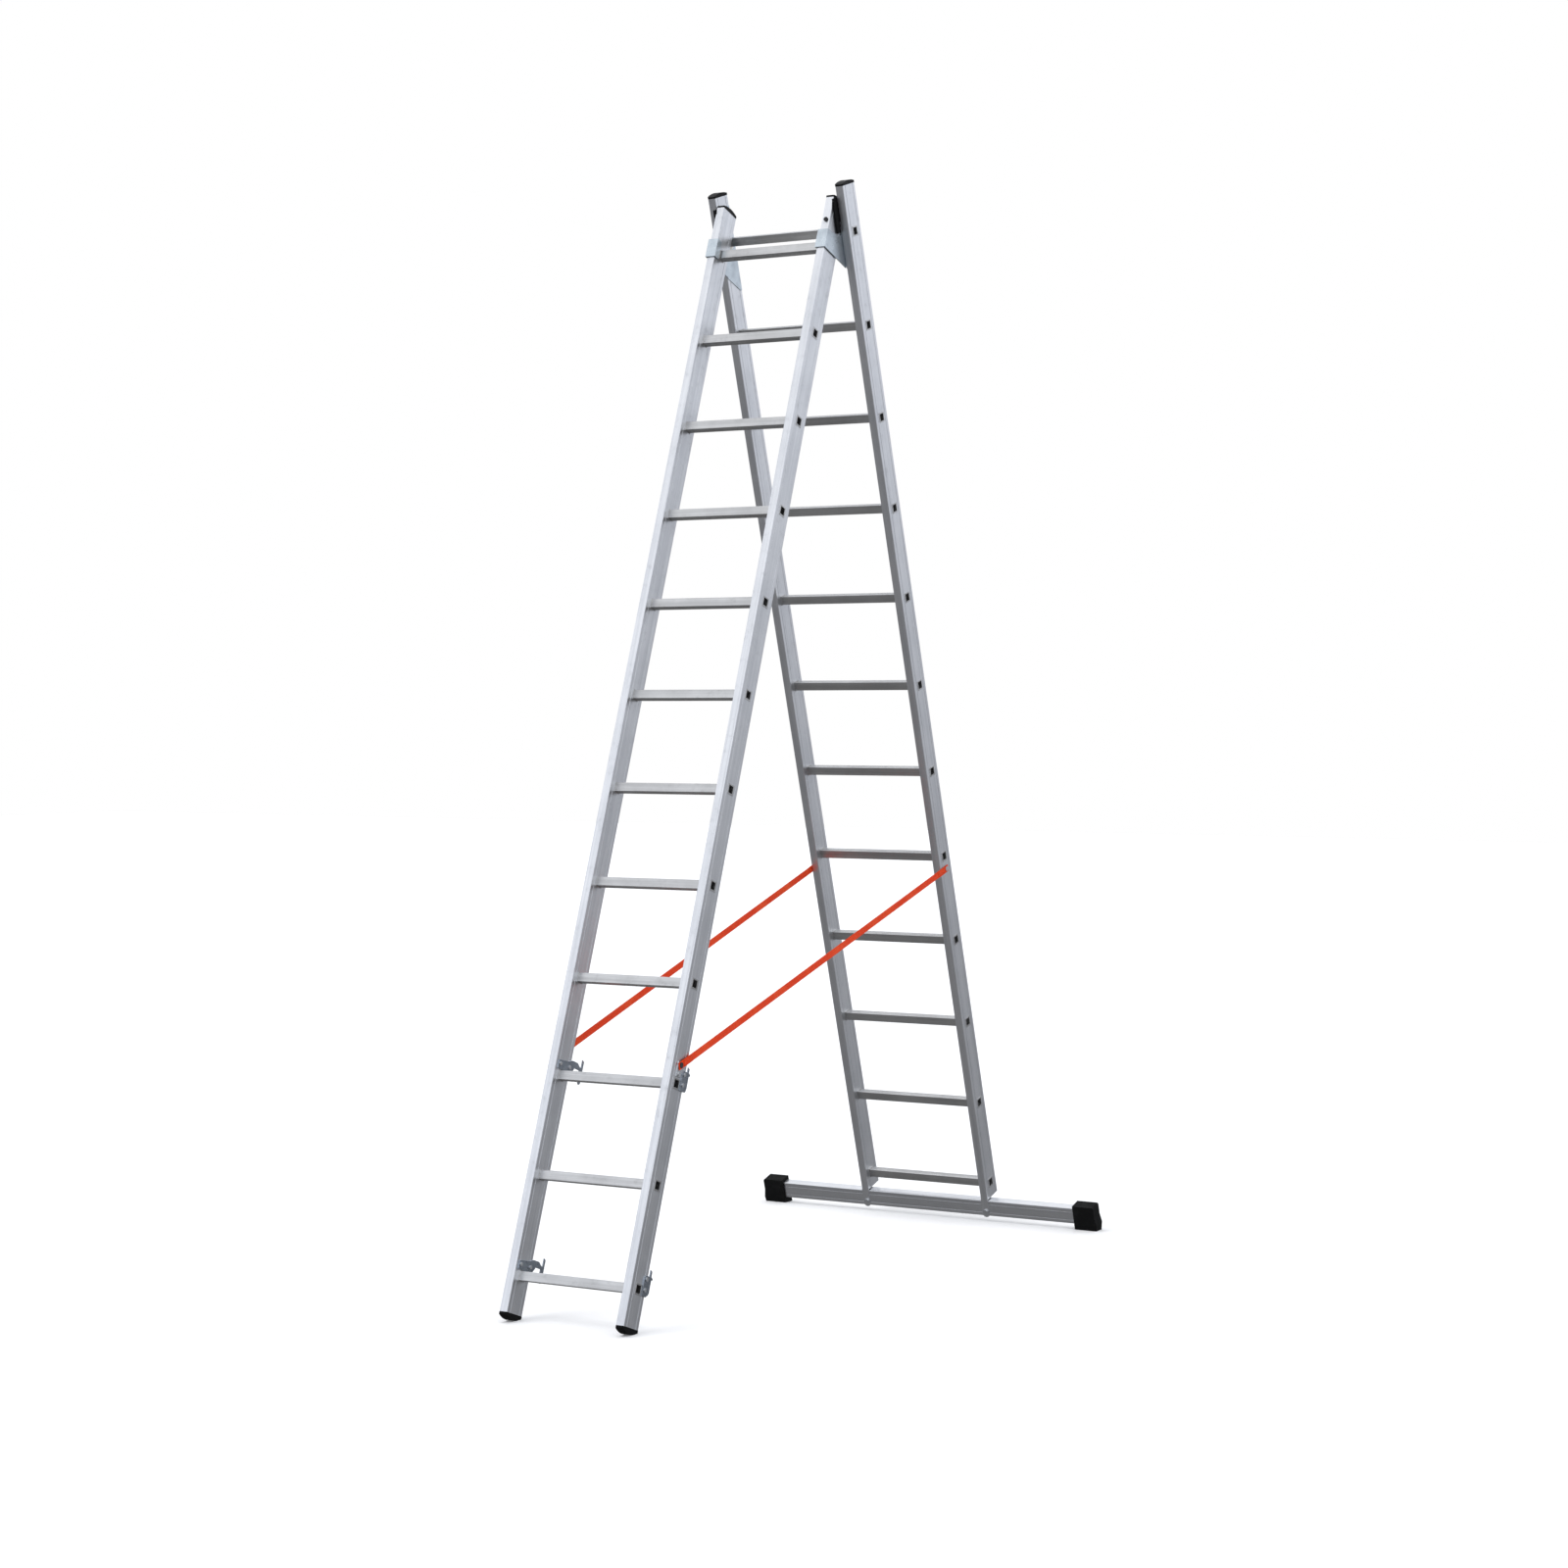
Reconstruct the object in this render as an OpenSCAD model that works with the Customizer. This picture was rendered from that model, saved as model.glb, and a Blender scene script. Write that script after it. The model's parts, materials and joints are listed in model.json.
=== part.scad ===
// Two-section aluminium extension ladder, standing open as an A-frame.
// The narrower front section nests between the stiles of the rear section. It turns on two guide
// brackets that pivot on the top rear rung, and it slides up through those brackets.
// Millimetres. X runs along the rungs, Y from the front feet to the rear feet, Z up from the floor.

/* [Sections] */
// Number of rungs on each section
rung_count = 12; // [6:1:12]
// Distance from one rung to the next along a stile
rung_pitch = 280; // [230:1:340]
// Outer width of the narrower front section
front_width = 400; // [330:1:480]
// Free space between a front stile and the rear stile beside it
section_gap = 6; // [6:0.5:9]
// Lean of the front section from the vertical, in degrees
front_tilt = 19.95; // [16.6:0.05:24]
// Lean of the rear section from the vertical, in degrees
rear_tilt = 17.35; // [14.5:0.05:21]

/* [Stiles] */
// Width of a stile, along the rungs
stile_w = 25; // [22:0.5:32]
// Depth of a stile, across the section
stile_d = 76; // [64:1:92]
// Wall of a stile
stile_wall = 1.6; // [1.3:0.1:2.4]
// Outer corner radius of a stile
stile_corner = 3; // [2.6:0.1:5]
// Front stile below its first rung
front_tail = 104; // [80:1:130]
// Front stile above its last rung
front_head = 145; // [130:1:180]
// Rear stile above its last rung
rear_head = 138; // [130:1:170]
// Rear side walls below the first rung
rear_tail = 48; // [40:1:50]
// Width of the shallow grooves in the stile sides
stile_groove_w = 1.6; // [1:0.1:3]
// Depth of the shallow grooves in the stile sides
stile_groove_depth = 0.5; // [0.2:0.1:0.8]

/* [Rungs] */
// Outer size of the square rung tube
rung_size = 25; // [21:0.5:30]
// Wall of the rung tube
rung_wall = 1.6; // [1.2:0.1:2.4]
// Clearance between a rung and its hole, each side
rung_fit = 0.1; // [0.05:0.01:0.3]
// How far the flared rim stands beyond the rung tube, each side
rim_flare = 2.5; // [1.5:0.1:3]
// Thickness of the flared rim
rim_t = 0.8; // [0.4:0.1:0.9]
// How far the pressed bead stands beyond the rung tube, each side
bead_flare = 2; // [1:0.1:2.5]
// Thickness of the pressed bead on the inside of a stile
bead_t = 1.5; // [0.8:0.1:1.5]
// Number of grip grooves on the top and bottom of a rung
grip_count = 5; // [3:1:7]
// Width of a grip groove
grip_w = 1.4; // [0.8:0.1:1.8]
// Depth of a grip groove
grip_depth = 0.6; // [0.3:0.1:0.8]

/* [End caps and feet] */
// How far a cap or foot stands beyond the stile, each side
cap_overhang = 1; // [0.5:0.1:1.2]
// Straight skirt of a cap or foot
cap_skirt = 5; // [3:0.5:8]
// Rise of the dome on a top cap
cap_dome = 7; // [4:0.5:10]
// Rise of the rocker under a front foot
foot_dome = 12; // [9:0.5:15]
// How deep the floor flat cuts into the rocker
foot_flat = 0.8; // [0.5:0.1:1.5]
// Length of the plug inside the stile
plug_depth = 30; // [20:1:50]
// Clearance between the plug and the stile wall
plug_fit = 0.2; // [0.1:0.05:0.4]
// Vertical corner radius of caps and feet
cap_corner = 5; // [3:0.5:8]

/* [Hinge brackets] */
// Gap between the back of the front stile and the flange of the pivot bush
pivot_gap = 4; // [2:0.5:8]
// Wall of the pivot bush over the flats of the rung
bush_wall = 7.5; // [6.5:0.5:10]
// Running clearance between bush and bracket bore
bush_fit = 0.08; // [0.03:0.01:0.1]
// Width of the flange that keeps the bracket on the bush
bush_flange = 3; // [2:0.5:3]
// Thickness of the bush flange
bush_flange_t = 2; // [1.5:0.5:3]
// Sheet thickness of the guide bracket
bracket_t = 3; // [2.5:0.1:3.2]
// Height of the bracket above the last front rung
bracket_rise = 38; // [30:1:45]
// Depth of the bracket below the last front rung
bracket_drop = 20; // [15:1:26]
// Sliding clearance between bracket and front stile
bracket_fit = 1.2; // [0.9:0.1:1.4]
// Depth of the inner lip behind the front of the stile
lip_depth = 18; // [12:0.5:20]
// Plate around the bush
boss_wall = 11; // [8:0.5:13]
// Thickness of the fixed plate on the rear stile
hinge_plate_t = 1.5; // [1:0.1:1.5]
// Height of the guide pad above the pivot
pad_rise = 106; // [80:1:115]
// How far the guide pad stands in front of the rear stile
pad_reach = 22; // [12:1:26]
// Rivet radius
rivet_r = 3; // [2.5:0.1:4]
// Radius of a rivet head
rivet_head_r = 5.5; // [5:0.1:7]
// Clearance round a rivet or bolt, in radius
rivet_fit = 0.1; // [0.05:0.05:0.3]
// Radius of the end stop bolt's head
stop_head_r = 6.5; // [5:0.5:8]

/* [Hooks] */
// Sheet thickness of a hook
hook_t = 3; // [2.5:0.1:3.2]
// Clearance in the slot for a rung, each side
hook_slot_fit = 1.4; // [1:0.1:3]
// Top of the slot above the front rung
hook_seat = 34; // [30:0.5:38]
// Height of the claw above its seat
hook_crown = 18; // [14:1:24]
// Width of the claw's rear prong
prong_w = 15; // [12:0.5:18]
// Prong below the middle of the front rung
prong_drop = 4; // [0:1:12]
// Finger above the claw
finger_rise = 14; // [10:1:20]

/* [Straps] */
// Width of the webbing
strap_w = 21; // [18:0.5:26]
// Thickness of the webbing
strap_t = 1.4; // [1:0.1:2]
// Front anchor above the first front rung, along the stile
strap_front_height = 612; // [600:1:660]
// Rear anchor above the first rear rung, along the stile
strap_rear_height = 1078; // [1060:1:1090]
// Strap beyond each anchor
strap_tail = 11; // [10:0.5:12]
// Radius of the anchor stud
stud_r = 4; // [3:0.5:5]
// Radius of the anchor washer
washer_r = 8; // [7:0.5:10]
// Thickness of the anchor washer
washer_t = 1.2; // [1:0.1:1.5]
// Thickness of the front anchor plate
anchor_t = 2.5; // [2.4:0.1:3]

/* [Stabilizer] */
// Overall length with its feet
stabilizer_len = 1220; // [950:5:1450]
// Height of the bar's section
bar_h = 54; // [46:1:62]
// Depth of the bar's section
bar_d = 30; // [25:1:34]
// Wall of the bar
bar_wall = 2; // [1.5:0.1:3]
// Middle of the bar below the first rear rung, along the stile
bar_drop = 78; // [76:1:90]
// Middle of the bar above the floor
bar_height = 48; // [44:1:60]
// Length of a rubber foot
foot_len = 78; // [60:1:95]
// Rubber round the bar
foot_wall = 7; // [5:0.5:10]
// Rubber over the top of the bar
foot_top = 10; // [6:0.5:14]
// Radius of the mounting bolt
bolt_r = 4; // [3:0.5:5]
// Radius of the mounting bolt's head
bolt_head_r = 8; // [7:0.5:9.5]
// Height of the bolt head and of the nut
bolt_head_t = 5; // [4:0.5:7]

/* [Hidden] */
$fn = 48;

function two_digits(i) = i < 10 ? str("0", i) : str(i);
rear_rung_names = [for (i = [1:rung_count]) str("rear_rung_", two_digits(i))];
front_rung_names = [for (i = [1:rung_count]) str("front_rung_", two_digits(i))];
rear_names = [
    "rear_stile_left", "rear_stile_right", "rear_top_cap_left", "rear_top_cap_right",
    "stabilizer_bar", "stabilizer_foot_left", "stabilizer_foot_right", "stabilizer_bolts",
    "pivot_bush_left", "pivot_bush_right", "hinge_plate_left", "hinge_plate_right",
    "guide_pad_left", "guide_pad_right", "strap_left", "strap_right", "rear_strap_rivets"
];
front_names = [
    "front_stile_left", "front_stile_right", "front_foot_left", "front_foot_right",
    "front_top_cap_left", "front_top_cap_right", "lower_hook_left", "lower_hook_right",
    "upper_hook_left", "upper_hook_right", "hook_rivets", "strap_anchors", "strap_studs",
    "end_stop_bolt"
];
bracket_names = ["guide_bracket_left", "guide_bracket_right"];

LEFT = -1;
RIGHT = 1;
cut = 1;              // how far a cutting tool runs past the face it cuts
big = 400;            // larger than any foot or cap

// Section sizes
stile_groove_place = 0.3;                // from the middle, as a share of the stile's depth
stack = (rung_count - 1) * rung_pitch;
fold_angle = front_tilt + rear_tilt;
front_half = front_width / 2;
front_inner = front_half - stile_w;
rear_inner = front_half + section_gap;
rear_half = rear_inner + stile_w;
half_d = stile_d / 2;
bush_r = rung_size / 2 + bush_wall;
pivot_offset = half_d + pivot_gap + bush_flange + bush_r;  // behind the front section's middle plane
rim_size = rung_size + 2 * rim_flare;
bead_size = rung_size + 2 * bead_flare;

// Front foot rocker
foot_half = half_d + cap_overhang;
foot_r = (pow(foot_half, 2) + pow(foot_dome, 2)) / (2 * foot_dome);
foot_centre = foot_r - front_tail - cap_skirt - foot_dome;

// Where the two sections stand: both reach the floor, and they share the pivot axis
bar_y = stile_wall + bar_d / 2 - half_d;
rear_z = bar_height - bar_y * sin(rear_tilt) + bar_drop * cos(rear_tilt);
front_z = foot_r - foot_flat - foot_centre * cos(front_tilt);
pivot_z = rear_z + stack * cos(rear_tilt);
pivot_rise = (pivot_z - front_z + pivot_offset * sin(front_tilt)) / cos(front_tilt) - stack;
front_run = pivot_offset * cos(front_tilt) + (stack + pivot_rise) * sin(front_tilt);
rear_run = stack * sin(rear_tilt);
front_reach = foot_half * cos(front_tilt) + (front_tail + cap_skirt) * sin(front_tilt);
sole_y = bar_y + bar_d / 2 + foot_wall;
sole_drop = (rear_z + sole_y * sin(rear_tilt)) / cos(rear_tilt);
sole_reach = sole_y * cos(rear_tilt) + sole_drop * sin(rear_tilt);
tail_reach = half_d * cos(rear_tilt) + rear_tail * sin(rear_tilt);
rear_reach = max(sole_reach, tail_reach);
pivot_y = (front_run + front_reach - rear_run - rear_reach) / 2;
front_y = pivot_y - front_run;
rear_y = pivot_y + rear_run;

// Guide bracket, measured from the last front rung
plate_x = front_half + bracket_fit - 0.1;
bracket_front = half_d + bracket_fit + bracket_t;
lip_x = front_inner - bracket_fit;
boss_r = bush_r + boss_wall;
shoulder_run = 16;                       // slanted top edge of the bracket, from the stile's back
shoulder_low = 8;                        // its lower end above the bracket's front corner
shoulder_high = 16;                      // its upper end above the bracket's front corner
pad_gap = 4;                             // between the pad and the bracket it stays clear of
bracket_edge = boss_r / sin(fold_angle) - (half_d + pad_gap / 2) / tan(fold_angle);
bracket_corner = (pivot_offset - half_d + shoulder_run) * sin(fold_angle)
    + (bracket_rise + shoulder_low - pivot_rise) * cos(fold_angle);
pad_tail = pad_gap + max(0, bracket_edge, bracket_corner);
cap_gap = 0.3;                           // between the pad and the front cap
pad_x = front_half + cap_overhang + cap_gap;
pad_inset = 20;                          // pad overlap onto the rear stile
pad_rivet_steps = [50, 88];              // rivets above the pivot
plate_inset = 2;                         // hinge plate inside the stile's edges
plate_bottom = bracket_drop + pivot_rise;
stop_rise = 70;                          // stop bolt above the last front rung
stop_inset = 10;                         // stop bolt from the outer face
stop_head_t = 5;

// Hooks, measured from the rung they sit on
slot_half = rung_size / 2 + hook_slot_fit;
slot_front = pivot_offset - slot_half;
slot_back = pivot_offset + slot_half;
claw_back = slot_back + prong_w;
claw_top = hook_seat + hook_crown;
hook_rungs = [1, 3];
inner_leg_bottom = bead_size / 2 + 1;
inner_leg_front = -27;
claw_slope = 6;                          // rise of the claw's front shoulder
claw_rear = hook_seat + 9;               // top of the claw at its rear
claw_chamfer = 4;
finger_w = 8;
web_gap = 0.2;                           // between the web and the back of the stile
lead_in = half_d + web_gap + hook_t + 1; // the slot's mouth is wider than its seat
lead_in_depth = 14;
outer_leg_front = rim_size / 2 + 2;
outer_leg_back = slot_front + 6;
outer_leg_bottom = -14;
outer_leg_top = hook_seat + 8;
outer_leg_chamfer = 12;
inner_rivets = [[-19, 30], [28, 30]];
outer_rivets = [[28, 32], [28, 3]];
rivet_head_t = 2.2;
rivet_tail = 2;

// Straps, from the rear anchor to the front anchor
rear_anchor = [
    rear_half + washer_t + strap_t / 2,
    rear_y - strap_rear_height * sin(rear_tilt),
    rear_z + strap_rear_height * cos(rear_tilt)
];
front_anchor = [
    front_half + anchor_t + washer_t + strap_t / 2,
    front_y + strap_front_height * sin(front_tilt),
    front_z + strap_front_height * cos(front_tilt)
];
strap_v = front_anchor - rear_anchor;
strap_run = norm([strap_v[1], strap_v[2]]);
strap_len = norm(strap_v);
strap_pitch = atan2(strap_v[2], strap_v[1]);
strap_yaw = -atan(strap_v[0] / strap_run);
anchor_gap = 0.3;                        // between webbing and metal
stud_head_t = 1.6;
anchor_w = 22;
anchor_rivet_drop = strap_w * 0.65 + 2 * rivet_head_r;  // clear of the webbing, which leaves aslant
anchor_up = washer_r + 1;
anchor_down = anchor_rivet_drop + rivet_head_r + 2;

// Stabilizer
bar_len = stabilizer_len - 2 * foot_wall;
bar_corner = 3;
tab_reach = 4;                           // stile tab below the bar
bolt_drop = 12;                          // bolt below the middle of the bar
tab_bottom = bar_drop + bar_h / 2 + tab_reach;
bolt_z = -bar_drop - bolt_drop;
bolt_tail = 2;                           // bolt beyond its nut
bar_groove_depth = 0.5;
foot_fit = 0.15;
foot_bulge = 5;
foot_chamfer = 4;
bar_groove_w = 3;
bar_groove_steps = [-14, 14];

// Placing -------------------------------------------------------------------------------------

module in_front_section() {
    translate([0, front_y, front_z]) rotate([-front_tilt, 0, 0]) children();
}

module in_rear_section() {
    translate([0, rear_y, rear_z]) rotate([rear_tilt, 0, 0]) children();
}

// Built for the right-hand side, mirrored for the left
module on_side(side) {
    if (side == LEFT) mirror([1, 0, 0]) children();
    else children();
}

// An outline drawn in Y and Z, made t thick from x0 outwards
module side_plate(x0, t) {
    translate([x0, 0, 0]) rotate([90, 0, 90]) linear_extrude(t) children();
}

// A round bar along X
module x_bar(r, x0, length) {
    translate([x0, 0, 0]) rotate([0, 90, 0]) cylinder(r = r, h = length);
}

// A box along X, centred in Y and Z
module x_box(x0, length, size) {
    translate([x0, -size / 2, -size / 2]) cube([length, size, size]);
}

// Shared outlines -----------------------------------------------------------------------------

module rounded_rect(w, d, r) {
    square([w - 2 * r, d], center = true);
    square([w, d - 2 * r], center = true);
    for (x = [-1, 1], y = [-1, 1]) {
        translate([x * (w / 2 - r), y * (d / 2 - r)]) circle(r);
    }
}

module tube_outline(w, d, wall, r) {
    difference() {
        rounded_rect(w, d, r);
        rounded_rect(w - 2 * wall, d - 2 * wall, r - wall);
    }
}

// Stile section with shallow grooves along both broad sides
module stile_outline() {
    difference() {
        tube_outline(stile_w, stile_d, stile_wall, stile_corner);
        for (x = [-1, 1], y = [-1, 1]) {
            translate([x * stile_w / 2, y * stile_d * stile_groove_place]) {
                square([2 * stile_groove_depth, stile_groove_w], center = true);
            }
        }
    }
}

// Square rung tube with grip grooves on its treads
module rung_outline() {
    difference() {
        square(rung_size, center = true);
        square(rung_size - 2 * rung_wall, center = true);
        for (i = [1:grip_count], z = [-1, 1]) {
            translate([(i / (grip_count + 1) - 0.5) * rung_size, z * rung_size / 2]) {
                square([grip_w, 2 * grip_depth], center = true);
            }
        }
    }
}

module rung_hole(x0, length) {
    x_box(x0, length, rung_size + 2 * rung_fit);
}

// Common parts --------------------------------------------------------------------------------

// A square rung with a pressed bead inside and a flared rim outside each stile
module rung(inner, outer) {
    side_plate(-outer, 2 * outer) rung_outline();
    for (side = [LEFT, RIGHT]) on_side(side) {
        side_plate(inner - bead_t, bead_t) difference() {
            square(bead_size, center = true);
            square(rung_size, center = true);
        }
        side_plate(outer, rim_t) difference() {
            square(rim_size, center = true);
            square(rung_size - 2 * rung_wall, center = true);
        }
    }
}

// A plug that closes a stile: its collar seats on the end, and a dome covers it
module end_plug(dome) {
    r = (pow(foot_half, 2) + pow(dome, 2)) / (2 * dome);
    core_w = stile_w - 2 * (stile_wall + plug_fit);
    core_d = stile_d - 2 * (stile_wall + plug_fit);
    intersection() {
        linear_extrude(cap_skirt + dome) {
            rounded_rect(stile_w + 2 * cap_overhang, 2 * foot_half, cap_corner);
        }
        translate([0, 0, cap_skirt + dome - r]) x_bar(r, -stile_w, 2 * stile_w);
    }
    translate([0, 0, -plug_depth]) {
        linear_extrude(plug_depth) rounded_rect(core_w, core_d, stile_corner - stile_wall);
    }
}

// A rivet along X with its head on the outside of x0, through plates of the given thickness
module x_rivet(x0, through) {
    x_bar(rivet_head_r, x0, rivet_head_t);
    x_bar(rivet_r, x0 - through - rivet_tail, through + rivet_tail);
}

// Front section -------------------------------------------------------------------------------

module front_stile(side) {
    color("gainsboro") in_front_section() on_side(side) difference() {
        translate([front_half - stile_w / 2, 0, -front_tail]) {
            linear_extrude(front_tail + stack + front_head) stile_outline();
        }
        for (i = [1:rung_count]) {
            translate([0, 0, (i - 1) * rung_pitch]) rung_hole(front_inner - cut, stile_w + 2 * cut);
        }
        for (i = hook_rungs) translate([0, 0, (i - 1) * rung_pitch]) {
            for (p = inner_rivets) translate([0, p[0], p[1]]) {
                x_bar(rivet_r + rivet_fit, front_inner - cut, stile_wall + 2 * cut);
            }
            for (p = outer_rivets) translate([0, p[0], p[1]]) {
                x_bar(rivet_r + rivet_fit, front_half - stile_wall - cut, stile_wall + 2 * cut);
            }
        }
        for (z = [0, anchor_rivet_drop]) translate([0, 0, strap_front_height - z]) {
            x_bar(rivet_r + rivet_fit, front_half - stile_wall - cut, stile_wall + 2 * cut);
        }
        if (side == RIGHT) translate([front_half - stop_inset, 0, stack + stop_rise]) {
            rotate([90, 0, 0]) cylinder(r = rivet_r + rivet_fit, h = half_d + cut);
        }
    }
}

module front_rung(i) {
    color("silver") in_front_section() translate([0, 0, (i - 1) * rung_pitch]) {
        rung(front_inner, front_half);
    }
}

module front_foot(side) {
    color("black") difference() {
        in_front_section() on_side(side) {
            translate([front_half - stile_w / 2, 0, -front_tail]) mirror([0, 0, 1]) {
                end_plug(foot_dome);
            }
        }
        translate([-big, front_y - big, -big]) cube([2 * big, 2 * big, big]);
    }
}

module front_top_cap(side) {
    color("black") in_front_section() on_side(side) {
        translate([front_half - stile_w / 2, 0, stack + front_head]) end_plug(cap_dome);
    }
}

// Inner leg of a hook: it seats above the rung and ends in the claw and its upright finger
module claw_outline() {
    difference() {
        polygon([
            [inner_leg_front, inner_leg_bottom],
            [inner_leg_front, claw_top - 2 * claw_slope],
            [half_d - shoulder_run, claw_top - claw_slope],
            [half_d, claw_top],
            [pivot_offset, claw_top],
            [slot_back, claw_rear],
            [claw_back - finger_w, claw_rear],
            [claw_back - finger_w, claw_top + finger_rise],
            [claw_back, claw_top + finger_rise - claw_chamfer],
            [claw_back, claw_chamfer - prong_drop],
            [claw_back - claw_chamfer, -prong_drop],
            [slot_back + 2 * claw_chamfer, -prong_drop],
            [slot_back, 2 * claw_chamfer - prong_drop],
            [slot_back, hook_seat],
            [slot_front, hook_seat],
            [slot_front, hook_seat - claw_chamfer],
            [lead_in, hook_seat - lead_in_depth],
            [lead_in, inner_leg_bottom]
        ]);
        for (p = inner_rivets) translate(p) circle(rivet_r + rivet_fit);
    }
}

// Outer leg of a hook: a plate behind the rung's flared end, with a nose over the rear rung
module outer_leg_outline() {
    difference() {
        polygon([
            [outer_leg_front, outer_leg_bottom],
            [outer_leg_front, outer_leg_top - claw_slope],
            [outer_leg_front + claw_slope, outer_leg_top],
            [slot_front, outer_leg_top],
            [outer_leg_back, outer_leg_top - claw_chamfer],
            [outer_leg_back, hook_seat],
            [slot_front, hook_seat],
            [slot_front, outer_leg_bottom + outer_leg_chamfer],
            [slot_front - outer_leg_chamfer, outer_leg_bottom]
        ]);
        for (p = outer_rivets) translate(p) circle(rivet_r + rivet_fit);
    }
}

module rung_hook(i, side) {
    web_y = half_d + web_gap;
    color("lightsteelblue") in_front_section() on_side(side) translate([0, 0, (i - 1) * rung_pitch]) {
        side_plate(front_inner - hook_t, hook_t) claw_outline();
        side_plate(front_half, hook_t) outer_leg_outline();
        translate([front_inner - hook_t, web_y, inner_leg_bottom]) {
            cube([stile_w + 2 * hook_t, hook_t, outer_leg_top - inner_leg_bottom]);
        }
        translate([front_inner - hook_t, web_y, hook_seat]) {
            cube([stile_w + 2 * hook_t, outer_leg_back - web_y, hook_t]);
        }
    }
}

module hook_rivets() {
    inner_face = front_inner - hook_t;
    color("silver") in_front_section() for (side = [LEFT, RIGHT], i = hook_rungs) {
        on_side(side) translate([0, 0, (i - 1) * rung_pitch]) {
            for (p = outer_rivets) translate([0, p[0], p[1]]) {
                x_rivet(front_half + hook_t, hook_t + stile_wall);
            }
            for (p = inner_rivets) translate([2 * inner_face, p[0], p[1]]) mirror([1, 0, 0]) {
                x_rivet(inner_face, hook_t + stile_wall);
            }
        }
    }
}

// Riveted plate that backs up the stud at the front end of each strap
module strap_anchors() {
    color("silver") for (side = [LEFT, RIGHT]) on_side(side) {
        in_front_section() translate([0, 0, strap_front_height]) {
            side_plate(front_half, anchor_t) difference() {
                translate([-anchor_w / 2, -anchor_down]) square([anchor_w, anchor_up + anchor_down]);
                circle(rivet_r + rivet_fit);
            }
            translate([0, 0, -anchor_rivet_drop]) {
                x_bar(rivet_r, front_half - stile_wall - rivet_tail, stile_wall + rivet_tail);
                x_bar(rivet_head_r, front_half + anchor_t, rivet_head_t);
            }
        }
    }
}

// Studs that the front ends of the straps turn on
module strap_studs() {
    color("dimgray") for (side = [LEFT, RIGHT]) on_side(side) {
        in_front_section() translate([0, 0, strap_front_height]) {
            x_bar(rivet_r, front_half - stile_wall - rivet_tail, stile_wall + rivet_tail + anchor_t);
            x_bar(washer_r, front_half + anchor_t, washer_t - anchor_gap);
            x_bar(stud_r, front_half + anchor_t, washer_t + strap_t + anchor_gap);
            x_bar(washer_r, front_anchor[0] + strap_t / 2 + anchor_gap, stud_head_t);
        }
    }
}

module end_stop_bolt() {
    color("dimgray") in_front_section() translate([front_half - stop_inset, -half_d, stack + stop_rise]) {
        rotate([90, 0, 0]) cylinder(r = stop_head_r, h = stop_head_t);
        rotate([-90, 0, 0]) cylinder(r = rivet_r, h = stile_wall + rivet_tail);
    }
}

// Rear section --------------------------------------------------------------------------------

module rear_stile(side) {
    mid_x = rear_half - stile_w / 2;
    tab_round = -tab_bottom + stile_w / 2;
    color("gainsboro") in_rear_section() on_side(side) difference() {
        union() {
            translate([mid_x, 0, -rear_tail]) {
                linear_extrude(rear_tail + stack + rear_head) stile_outline();
            }
            translate([mid_x, stile_wall - half_d, 0]) rotate([90, 0, 0]) linear_extrude(stile_wall) {
                translate([-stile_w / 2 + stile_corner, tab_round]) {
                    square([stile_w - 2 * stile_corner, -rear_tail - tab_round + cut]);
                }
                translate([-stile_w / 2, tab_round]) square([stile_w, -rear_tail - tab_round]);
                translate([0, tab_round]) circle(stile_w / 2);
            }
        }
        for (i = [1:rung_count]) {
            translate([0, 0, (i - 1) * rung_pitch]) rung_hole(rear_inner - cut, stile_w + 2 * cut);
        }
        translate([mid_x, 0, bolt_z]) {
            rotate([90, 0, 0]) cylinder(r = bolt_r + rivet_fit, h = half_d + cut);
        }
        translate([0, 0, strap_rear_height]) {
            x_bar(rivet_r + rivet_fit, rear_half - stile_wall - cut, stile_wall + 2 * cut);
        }
        for (z = pad_rivet_steps) translate([0, pad_inset / 2 - half_d, stack + z]) {
            x_bar(rivet_r + rivet_fit, rear_inner - cut, stile_wall + 2 * cut);
        }
    }
}

module rear_rung(i) {
    color("silver") in_rear_section() translate([0, 0, (i - 1) * rung_pitch]) {
        rung(rear_inner, rear_half);
    }
}

module rear_top_cap(side) {
    color("black") in_rear_section() on_side(side) {
        translate([rear_half - stile_w / 2, 0, stack + rear_head]) end_plug(cap_dome);
    }
}

// Thin plate on the inside of the rear stile, cut off along the line of the bracket's lower edge
module hinge_plate(side) {
    color("lightsteelblue") in_rear_section() on_side(side) translate([0, 0, stack]) difference() {
        side_plate(rear_inner - hinge_plate_t, hinge_plate_t) difference() {
            translate([plate_inset - half_d, -2 * stile_d]) {
                square([stile_d - 2 * plate_inset, 2 * stile_d + pad_rise]);
            }
            square(bead_size + 2 * rung_fit, center = true);
            rotate(-fold_angle) translate([-big / 2, -plate_bottom - big]) square([big, big]);
            for (z = pad_rivet_steps) {
                translate([pad_inset / 2 - half_d, z]) circle(rivet_r + rivet_fit);
            }
        }
        translate([pad_x - cut, -half_d - cut, pad_start()]) {
            cube([section_gap + cut, pad_inset + 2 * cut, pad_rise]);
        }
    }
}

function pad_start() = boss_r + pad_gap;

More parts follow.
